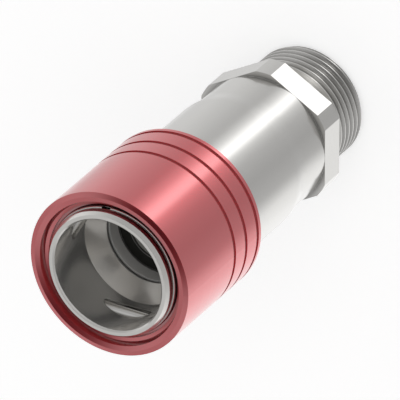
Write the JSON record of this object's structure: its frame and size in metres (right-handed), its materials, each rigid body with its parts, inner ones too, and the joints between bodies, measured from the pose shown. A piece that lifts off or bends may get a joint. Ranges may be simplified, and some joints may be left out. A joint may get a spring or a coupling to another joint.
{
  "type": "liquid cooling quick coupling",
  "caption": "Round quick-release fluid coupling socket with a sliding red sleeve, flat-faced shut-off valve, wrench hexagon and threaded port.",
  "frame": {"origin": "centre of the threaded port's end face, at the coupling's foot", "axes": "+Z along the coupling axis from the port to the mouth, +X square to a flat of the hexagon"},
  "size_m": [0.048, 0.048, 0.109],
  "materials": {
    "body_steel": "fine turned stainless steel",
    "valve_steel": "fine turned stainless steel, darker",
    "red_anodised": "glossy red anodised aluminium",
    "spring_wire": "bright drawn wire",
    "roller_steel": "ground hardened steel",
    "seal_rubber": "matt black rubber"
  },
  "bodies": {
    "housing": {"rear_body": "body_steel", "nose_body": "body_steel", "guide_bush": "body_steel", "stem_holder": "body_steel", "stem_washer": "body_steel", "stem_nut": "body_steel", "poppet": "valve_steel", "sleeve_spring": "spring_wire", "valve_spring": "spring_wire", "snap_ring": "spring_wire", "body_seal": "seal_rubber", "bush_seal": "seal_rubber", "valve_seal": "seal_rubber", "poppet_seal": "seal_rubber", "plug_seal": "seal_rubber"},
    "spring_seat_carrier": {"spring_seat": "spring_wire"},
    "sleeve": {"release_sleeve": "red_anodised"},
    "valve": {"valve_sleeve": "valve_steel"},
    "roller_1": {"locking_roller_1": "roller_steel"},
    "roller_2": {"locking_roller_2": "roller_steel"},
    "roller_3": {"locking_roller_3": "roller_steel"}
  },
  "joints": [
    {"name": "release_slide", "type": "slide", "parent": "housing", "child": "spring_seat_carrier", "axis": [0, 0, -1], "range_m": [0, 0.0033], "stiffness_N_per_m": 4000, "springref_m": -0.006, "deforming": ["sleeve_spring"]},
    {"name": "sleeve_turn", "type": "hinge", "parent": "spring_seat_carrier", "child": "sleeve", "pos_m": [0, 0, 0.09], "axis": [0, 0, 1], "continuous": true},
    {"name": "valve_slide", "type": "slide", "parent": "housing", "child": "valve", "axis": [0, 0, -1], "range_m": [0, 0.009], "stiffness_N_per_m": 2500, "springref_m": -0.008, "deforming": ["valve_spring"]},
    {"name": "roller_1_slide", "type": "slide", "parent": "housing", "child": "roller_1", "axis": [0, -1, 0], "range_m": [0, 0.00155]},
    {"name": "roller_2_slide", "type": "slide", "parent": "housing", "child": "roller_2", "axis": [0.866, 0.5, 0], "range_m": [0, 0.00155]},
    {"name": "roller_3_slide", "type": "slide", "parent": "housing", "child": "roller_3", "axis": [-0.866, 0.5, 0], "range_m": [0, 0.00155]}
  ],
  "couplings": [
    {"joint": "roller_1_slide", "follows": "release_slide", "ratio": 0.4697},
    {"joint": "roller_2_slide", "follows": "release_slide", "ratio": 0.4697},
    {"joint": "roller_3_slide", "follows": "release_slide", "ratio": 0.4697}
  ]
}
